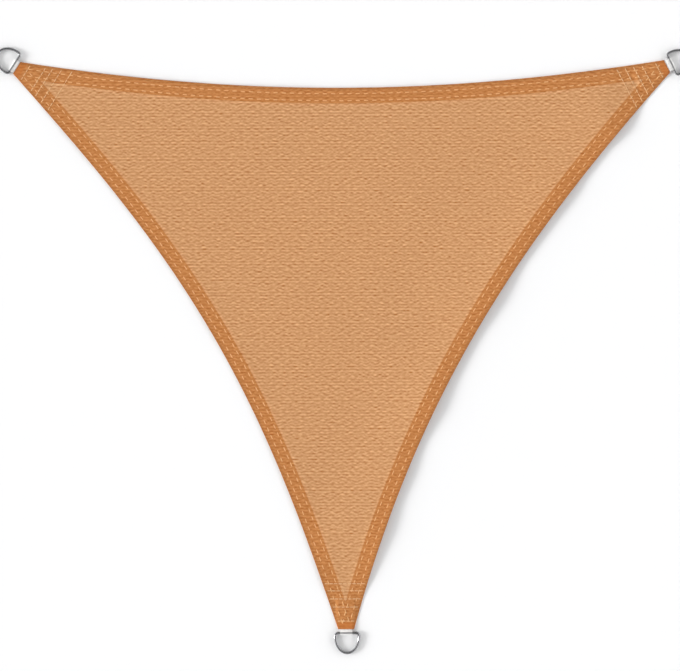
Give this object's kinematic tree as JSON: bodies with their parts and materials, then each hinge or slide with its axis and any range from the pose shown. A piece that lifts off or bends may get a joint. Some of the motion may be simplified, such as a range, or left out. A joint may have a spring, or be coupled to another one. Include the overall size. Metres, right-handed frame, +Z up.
{
  "type": "triangular shade sail",
  "caption": "Flat triangular sun-shade cloth with three hollow-curved, double-stitched hemmed sides and a steel D-ring held by a webbing loop at each corner.",
  "frame": {"origin": "middle of the whole part's base, on the surface that the sail lies on", "axes": "+X along the top side, towards the right corner as seen from above; +Y from the lower corner towards the top side; +Z up, out of the cloth's face"},
  "size_m": [2.1442, 1.8696, 0.011],
  "materials": {
    "knit": "knitted plastic-tape shade cloth, sand orange, darker where the hem doubles it",
    "webbing": "off-white woven polyester webbing",
    "steel": "polished stainless steel wire"
  },
  "bodies": {
    "root": {"sail": "knit", "loop_left": "webbing", "loop_right": "webbing", "loop_lower": "webbing", "ring_left": "steel", "ring_right": "steel", "ring_lower": "steel"}
  },
  "joints": []
}
